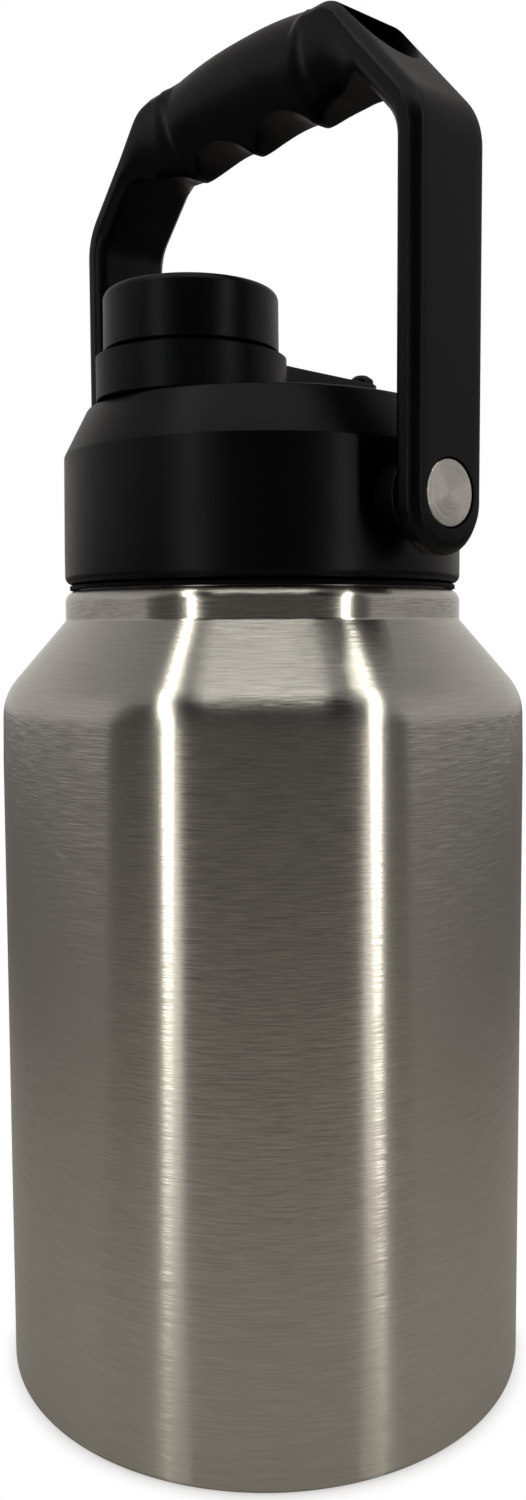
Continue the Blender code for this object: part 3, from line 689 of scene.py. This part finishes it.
def leg_section():
    """Half section of a leg: flat strip with eased chamfers on all long edges."""
    face = LEG_W - LEG_C - EASE
    edge = LEG_C - 0.12
    half = [(0, 0), (2.4, 0), (4.7, 0), (7.0, 0), (face, 0), (LEG_W - edge, 0.12), (LEG_W - 0.12, edge),
            (LEG_W, LEG_C + EASE)]
    half += [(LEG_W, LEG_C + EASE + (LEG_T - 2 * LEG_C - 2 * EASE) * k / 4) for k in (1, 2, 3)]
    half += [(LEG_W, LEG_T - LEG_C - EASE), (LEG_W - 0.12, LEG_T - edge), (LEG_W - edge, LEG_T - 0.12),
             (face, LEG_T)]
    return half + [(face * (1 - k / 5), LEG_T) for k in (1, 2, 3, 4, 5)]


def mixed(a, b, t):
    return [(p[0] + (q[0] - p[0]) * t, p[1] + (q[1] - p[1]) * t) for p, q in zip(a, b)]


def bail_stations():
    """Sections from the middle of the grip to the pivot: outer point, way inward, half section."""
    down = Vector((0, -1))
    out = []
    grip_x = 22.0
    for k in range(37):
        x = grip_x * k / 36
        out.append((Vector((x, hump(x))), down, round_section(x)))
    for k in range(1, 17):
        x = grip_x + (GRIP_END - grip_x) * k / 16
        top = hump(x)
        low = underside(x)
        flat = flat_section(top - low, egg(low, FLAT_Z + 4))
        out.append((Vector((x, top)), down, mixed(round_section(x), flat, smooth(x, 22.2, 27.7))))

    strip = leg_section()
    thick = flat_section(FLAT_Z - END_GROOVE_TOP, egg(END_GROOVE_TOP, FLAT_Z + 4))
    along = Vector((math.cos(SLANT), -math.sin(SLANT)))
    inward = Vector((-math.sin(SLANT), -math.cos(SLANT)))
    reach = CORNER_R * math.tan(SLANT / 2)
    start = Vector((CORNER_X, FLAT_Z)) + along * reach
    knee = Vector((LEG_OUT - KNEE_R, KNEE_Z))
    stop = knee - inward * KNEE_R
    outer = []
    for k in range(1, 8):
        a = SLANT * k / 7
        outer.append(Vector((CORNER_X - reach + CORNER_R * math.sin(a),
                             FLAT_Z - CORNER_R + CORNER_R * math.cos(a))))
    outer += [start + along * run for run in (2.0, 4.0, 6.0, 8.0, 10.0, 12.0, 14.0)]
    near = Vector((GRIP_END, underside(GRIP_END)))
    bend = Vector(INNER_BEND)
    far = outer[-1] + inward * LEG_T
    for k, point in enumerate(outer, 1):
        t = k / len(outer)
        way = near.lerp(bend, t).lerp(bend.lerp(far, t), t) - point
        section = mixed(thick, strip, smooth(t, 0, 1))
        stretch = way.length / section[-1][1]
        out.append((point, way.normalized(), [(y, depth * stretch) for y, depth in section]))
    for t in (0.7, 0.85, 1.0):
        out.append((start + along * (stop - start).length * t, inward, strip))
    for k in range(1, 9):
        a = (math.pi / 2 - SLANT) * (1 - k / 8)
        way = Vector((-math.cos(a), -math.sin(a)))
        out.append((knee - way * KNEE_R, way, strip))
    for z in (270.0, 250.0, 230.0, LEG_END_Z):
        out.append((Vector((LEG_OUT, z)), Vector((-1, 0)), strip))
    return out


def leg_end(bm, ring, side):
    """Half round end of a leg about the pivot, with the leg's eased chamfer carried round it."""
    n = len(ring)
    strip = leg_section()
    arc = 32
    rows = []
    for index in range(4, 15):
        y, depth = strip[index]
        row = [ring[index]]
        for k in range(1, arc):
            a = math.pi * k / arc
            row.append(bm.verts.new((side * (LEG_OUT - depth) * MM, y * math.cos(a) * MM,
                                     (LEG_END_Z - y * math.sin(a)) * MM)))
        row.append(ring[n - index])
        rows.append(row)
    for a, b in zip(rows, rows[1:]):
        for k in range(arc):
            bm.faces.new((a[k], b[k], b[k + 1], a[k + 1]))
    last = len(strip) - 1
    bm.faces.new([ring[k] for k in (3, 2, 1, 0)] + [ring[n - k] for k in (1, 2, 3)] + rows[0][::-1])
    bm.faces.new([ring[n - k] for k in range(15, last)] + [ring[k] for k in range(last, 14, -1)]
                 + rows[-1])


def pocket_mesh(side):
    """Hollow behind a slanted shoulder: flat roof, half oval below, open outward."""
    steps = 48
    bm = bmesh.new()
    near, far = [], []
    for k in range(steps + 1):
        a = math.pi * k / steps
        y = 9.2 * math.copysign(abs(math.cos(a)) ** 0.85, math.cos(a))
        z = FLAT_Z - 2 - 12.0 * math.sin(a) ** 0.85
        near.append(bm.verts.new((side * 29.0 * MM, y * MM, z * MM)))
        far.append(bm.verts.new((side * 64.0 * MM, y * MM, z * MM)))
    bm.faces.new(near)
    bm.faces.new(far[::-1])
    for k in range(steps + 1):
        j = (k + 1) % (steps + 1)
        bm.faces.new((near[k], far[k], far[j], near[j]))
    return mesh_of("pocket", bm)


def make_handle():
    bm = bmesh.new()
    half = bail_stations()
    rings = []
    for side in (-1, 1):
        for outer, way, section in (half[:0:-1] if side < 0 else half):
            loop = section + [(-y, depth) for y, depth in section[-2:0:-1]]
            rings.append([bm.verts.new((side * (outer.x + way.x * depth) * MM, y * MM,
                                        (outer.y + way.y * depth) * MM)) for y, depth in loop])
    n = len(rings[0])
    for a, b in zip(rings, rings[1:]):
        for k in range(n):
            j = (k + 1) % n
            bm.faces.new((a[k], a[j], b[j], b[k]))
    leg_end(bm, rings[0], -1)
    leg_end(bm, rings[-1], 1)
    bail = place("bail", mesh_of("bail", bm, 40), BLACK, "handle", ["handle"])

    # room for the disc, and the hole the screw's shank passes
    sink_r = DISC_R + 0.3
    sink = [(0, 70.0, 0), (sink_r, 70.0, 0), (sink_r, 57.7, 0), (3.0, 57.7, 0), (3.0, 50.0, 0),
            (0, 50.0, 0)]
    for side in (1, -1):
        combine(bail, pocket_mesh(side), "DIFFERENCE")
        combine(bail, turned_mesh("sink", sink, SMALL, along_x(side), closed=False, phase=0.02),
                "DIFFERENCE")
    resharpen(bail, 38)


def make_pivots():
    """Bright disc over each pivot, turned about the pivot's axis."""
    face = LEG_OUT - 0.2
    profile = [(0, face, 0), (DISC_R, face, 0.35), (DISC_R, 59.9, 0), (0, 59.9, 0)]
    for side, tag in ((1, "right"), (-1, "left")):
        steel = brushed_round("turned_disc_" + tag, (0.46, 0.445, 0.42), 0.22, 14000.0, "X", 1.0,
                              PIVOT_Z * MM)
        disc = turned_mesh("disc_" + tag, profile, 96, along_x(side), closed=False)
        place("disc_" + tag, disc, steel, "handle", ["pivot_disc_" + tag])


make_jug()
make_lid()
make_cap()
make_tether()
make_handle()
make_pivots()

# hidden nodes that stay as the CAD has them, with a finish of their own
FINISHES = {
    "getter": GETTER, "lid_foam": FOAM, "cap_foam": FOAM, "cap_seal": GREY_RUBBER,
    "pivot_screw_right": SCREW, "pivot_screw_left": SCREW, "pivot_washer_right": NYLON,
    "pivot_washer_left": NYLON, "pivot_insert_right": BRASS, "pivot_insert_left": BRASS}
for node, finish in FINISHES.items():
    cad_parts[node].data.materials.clear()
    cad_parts[node].data.materials.append(finish)


# ------------------------------------------------------------------ camera
VIEW_TURN = math.radians(40.41)        # angle between the pivot axis and the line to the camera
CAM_DIST = 0.3092
CAM_HEIGHT = 0.1822
PITCH = 0.0796
ROLL = 0.0048
LENS_MM = 29.61
SHIFT_Y = -0.0168
to_cam = Vector((math.cos(VIEW_TURN), -math.sin(VIEW_TURN), 0))
right = Vector((math.sin(VIEW_TURN), math.cos(VIEW_TURN), 0))
up = Vector((0, 0, 1))


def make_camera():
    data = bpy.data.cameras.new("camera")
    data.sensor_width = 36.0
    data.lens = LENS_MM
    data.shift_y = SHIFT_Y
    data.clip_start = 0.01
    cam = bpy.data.objects.new("camera", data)
    COL.objects.link(cam)
    ahead = -to_cam * math.cos(PITCH) - up * math.sin(PITCH)
    down = ahead.cross(right)
    x_axis = right * math.cos(ROLL) + down * math.sin(ROLL)
    y_axis = right * math.sin(ROLL) - down * math.cos(ROLL)
    turn = Matrix((x_axis, y_axis, -ahead)).transposed().to_4x4()
    cam.matrix_world = Matrix.Translation(to_cam * CAM_DIST + up * CAM_HEIGHT) @ turn
    bpy.context.scene.camera = cam


# ------------------------------------------------------------------ light and surroundings
# turns are in degrees to the right of the camera's side
LEFT_TURN = -38.3              # where the left lamp stands
RIGHT_TURN = 45.8
LEFT_STREAK = -17.0            # where its reflection crosses the jug's wall
RIGHT_STREAK = 20.8
LEFT_ARCH = -84.0              # where its upper half leans to
RIGHT_ARCH = 92.0
ELBOW = 0.42                   # height at which the lamps start to lean
ARCH_OUT = 0.56                # distance and height of the leaning half's far end
ARCH_UP = 1.55
LAMP_WIDE = 0.06
LAMP_TINT = (1.0, 0.98, 0.88)
PANEL_UP = 0.93                # height of the level panels
PANEL_WIDE = 0.66
# painted glow: the floor near the jug emits light that only reflections and bounce light see
PAINTED_FLOOR_GLOW = 0.045
# painted pool of light: the floor's colour is pale near the jug and darker further out
FLOOR_PAINTED_POOL = (0.56, 0.535, 0.50, 1)
FLOOR_BEYOND_POOL = (0.25, 0.235, 0.22, 1)
WHITE_FROM = 0.056             # distance at which the floor turns white for the camera
WHITE_TO = 0.068
PAINTED_SPILL = 1.3                    # painted glow that runs over the floor toward a lamp
PAINTED_SPILL_SPREAD = 0.136
ROOM_TINT = (1.0, 0.96, 0.92, 1)
ROOM_MIDDLE = -2.5             # turn of the dim wall's middle
ROOM_SIDE = 0.64               # strength at the sides and behind
ROOM_FRONT = 0.075
ROOM_TOP = -0.30               # what is added overhead


def heading(turn):
    """Level direction that many degrees to the right of the camera's side."""
    a = math.radians(turn)
    return to_cam * math.cos(a) + right * math.sin(a)


def area_light(name, wide, tall, power, tint):
    data = bpy.data.lights.new(name, "AREA")
    data.shape = "RECTANGLE"
    data.size = wide
    data.size_y = tall
    data.energy = power
    data.color = tint
    lamp = bpy.data.objects.new(name, data)
    COL.objects.link(lamp)
    return lamp


def level_panel(name, distance, tall, power, tint):
    """Panel overhead that shines straight down."""
    lamp = area_light(name, PANEL_WIDE, tall, power, tint)
    lamp.location = to_cam * distance + up * PANEL_UP
    lamp.rotation_euler = (0, 0, math.atan2(right.y, right.x))


def tube_light(name, low, high, power):
    """Long straight lamp from one point to another, facing the jug."""
    lamp = area_light(name, LAMP_WIDE, (high - low).length, power, LAMP_TINT)
    middle = (low + high) / 2
    y_axis = (high - low).normalized()
    back = middle - up * 0.15
    z_axis = (back - y_axis * back.dot(y_axis)).normalized()
    turn = Matrix((y_axis.cross(z_axis), y_axis, z_axis)).transposed().to_4x4()
    lamp.matrix_world = Matrix.Translation(middle) @ turn


def floor_material():
    """Pale table painted lighter near the jug, white for the camera further out; it glows with painted
    light near the jug and in long painted spills toward the lamps, which only reflections and bounce light
    see.
    """
    n = Nodes("pale_floor")
    n.bsdf.inputs["Roughness"].default_value = 0.7
    n.bsdf.inputs["Emission Color"].default_value = (1.0, 0.92, 0.86, 1)
    place_on = n.add("ShaderNodeNewGeometry").outputs["Position"]
    away = n.add("ShaderNodeVectorMath", operation="LENGTH")
    n.link(place_on, away.inputs[0])
    dist = away.outputs["Value"]
    seen = n.add("ShaderNodeLightPath").outputs["Is Camera Ray"]

    def dot(vector):
        node = n.add("ShaderNodeVectorMath", operation="DOT_PRODUCT")
        n.link(place_on, node.inputs[0])
        node.inputs[1].default_value = vector
        return node.outputs["Value"]

    # painted glow near the jug and in strips toward the lamps, hidden from the camera
    light = n.spread(dist, 0.06, 0.55, PAINTED_FLOOR_GLOW, 0.0, "SMOOTHSTEP")
    for turn, streak in ((LEFT_TURN, LEFT_STREAK), (RIGHT_TURN, RIGHT_STREAK)):
        foot = heading(streak) * BODY_R * MM
        way = heading(turn)
        across = Vector((-way.y, way.x, 0))
        run = n.math("SUBTRACT", dot(way), foot.dot(way))
        off = n.math("ABSOLUTE", n.math("SUBTRACT", dot(across), foot.dot(across)))
        half = n.math("ADD", n.math("MULTIPLY", run, PAINTED_SPILL_SPREAD / 2), 0.003)
        inside = n.spread(n.math("DIVIDE", off, half), 0.8, 1.15, 1.0, 0.0, "SMOOTHSTEP")
        growing = n.spread(run, 0.0, 0.35, 0.15, PAINTED_SPILL, "SMOOTHSTEP")
        strength = n.math("MULTIPLY", growing, inside)
        light = n.math("ADD", light, n.math("MULTIPLY", strength, n.math("GREATER_THAN", run, 0.0)))
    n.link(n.math("MULTIPLY", light, n.math("SUBTRACT", 1.0, seen)), n.bsdf.inputs["Emission Strength"])
    # painted pool of light: colour fades from pale near the jug to dark further out
    pale = n.add("ShaderNodeMix", data_type="RGBA")
    n.link(n.spread(dist, 0.07, 0.42, 0.0, 1.0, "SMOOTHSTEP"), pale.inputs["Factor"])
    pale.inputs["A"].default_value = FLOOR_PAINTED_POOL
    pale.inputs["B"].default_value = FLOOR_BEYOND_POOL
    n.link(pale.outputs["Result"], n.bsdf.inputs["Base Color"])
    white = n.add("ShaderNodeEmission")
    mix = n.add("ShaderNodeMixShader")
    further = n.spread(dist, WHITE_FROM, WHITE_TO, 0.0, 1.0, "SMOOTHSTEP")
    n.link(n.math("MULTIPLY", further, seen), mix.inputs[0])
    n.link(n.bsdf.outputs[0], mix.inputs[1])
    n.link(white.outputs[0], mix.inputs[2])
    n.link(mix.outputs[0], n.tree.nodes["Material Output"].inputs["Surface"])
    return n.mat


def make_world():
    """Dim room in front, brighter walls at the sides and behind, white for the camera."""
    world = bpy.data.worlds.new("studio")
    world.use_nodes = True
    nodes = world.node_tree.nodes
    link = world.node_tree.links.new

    def ramp(value, low, high, at_low, at_high):
        node = nodes.new("ShaderNodeMapRange")
        node.interpolation_type = "SMOOTHSTEP"
        for slot, number in ((1, low), (2, high), (3, at_low), (4, at_high)):
            node.inputs[slot].default_value = number
        link(value, node.inputs[0])
        return node.outputs[0]

    way = nodes.new("ShaderNodeTexCoord").outputs["Generated"]
    ahead = nodes.new("ShaderNodeVectorMath")
    ahead.operation = "DOT_PRODUCT"
    ahead.inputs[1].default_value = heading(ROOM_MIDDLE)
    link(way, ahead.inputs[0])
    split = nodes.new("ShaderNodeSeparateXYZ")
    link(way, split.inputs[0])
    total = nodes.new("ShaderNodeMath")
    link(ramp(ahead.outputs["Value"], 0.39, 0.45, ROOM_SIDE, ROOM_FRONT), total.inputs[0])
    link(ramp(split.outputs["Z"], 0.3, 0.9, 0.0, ROOM_TOP), total.inputs[1])
    room = nodes["Background"]
    room.inputs["Color"].default_value = ROOM_TINT
    link(total.outputs[0], room.inputs["Strength"])

    white = nodes.new("ShaderNodeBackground")
    white.inputs["Color"].default_value = (1, 1, 1, 1)
    mix = nodes.new("ShaderNodeMixShader")
    link(nodes.new("ShaderNodeLightPath").outputs["Is Camera Ray"], mix.inputs[0])
    link(room.outputs[0], mix.inputs[1])
    link(white.outputs[0], mix.inputs[2])
    link(mix.outputs[0], nodes["World Output"].inputs["Surface"])
    bpy.context.scene.world = world


def make_stage():
    bm = bmesh.new()
    bmesh.ops.create_grid(bm, x_segments=1, y_segments=1, size=6.0)
    mesh = bpy.data.meshes.new("floor")
    bm.to_mesh(mesh)
    bm.free()
    place("floor", mesh, floor_material())
    for side, turn, lean in (("left", LEFT_TURN, LEFT_ARCH), ("right", RIGHT_TURN, RIGHT_ARCH)):
        elbow = heading(turn) + up * ELBOW
        tube_light("strip_" + side, heading(turn), elbow, 0.74)
        tube_light("arch_" + side, elbow, heading(lean) * ARCH_OUT + up * ARCH_UP, 2.1)
    level_panel("front_panel", 0.42, 0.26, 1.25, (1.0, 0.98, 0.92))
    level_panel("top_panel", 0.03, 0.46, 0.36, (1.0, 0.98, 0.95))
    make_world()
    bpy.context.scene.view_settings.view_transform = "Standard"


make_camera()
make_stage()
